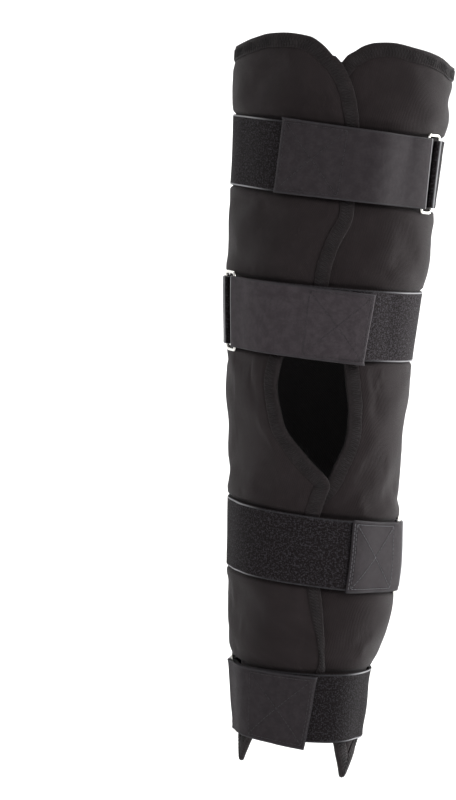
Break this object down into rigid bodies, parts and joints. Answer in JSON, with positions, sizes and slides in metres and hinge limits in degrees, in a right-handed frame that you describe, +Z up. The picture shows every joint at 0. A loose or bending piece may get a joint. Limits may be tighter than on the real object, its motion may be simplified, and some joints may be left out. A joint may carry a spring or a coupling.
{
  "type": "knee immobilizer",
  "caption": "Padded leg wrap, closed down the front over an open kneecap, held by broad straps that pass through wire rings and fold back on hook patches.",
  "frame": {"origin": "middle of the leg at the height of the kneecap, where the leg goes through", "axes": "+Z up along the leg, -Y out of the front of the knee, +X to the right seen from the front"},
  "size_m": [0.18, 0.1834, 0.5944],
  "materials": {
    "padding": "fine matt jersey laminated on foam",
    "binding": "zigzag stitched knitted tape",
    "strap": "brushed loop strap with a smooth grey back",
    "hook": "stiff hook tape",
    "ring": "polished nickel plated wire"
  },
  "bodies": {
    "root": {"wrap": "padding", "edge_binding": "binding", "strap_upper_thigh": "strap", "hook_patch_upper_thigh": "hook", "ring_upper_thigh": "ring", "ring_tab_upper_thigh": "strap", "strap_lower_thigh": "strap", "hook_patch_lower_thigh": "hook", "ring_lower_thigh": "ring", "ring_tab_lower_thigh": "strap", "strap_upper_calf": "strap", "hook_patch_upper_calf": "hook", "ring_upper_calf": "ring", "ring_tab_upper_calf": "strap", "strap_lower_calf": "strap", "hook_patch_lower_calf": "hook", "ring_lower_calf": "ring", "ring_tab_lower_calf": "strap"}
  },
  "joints": []
}
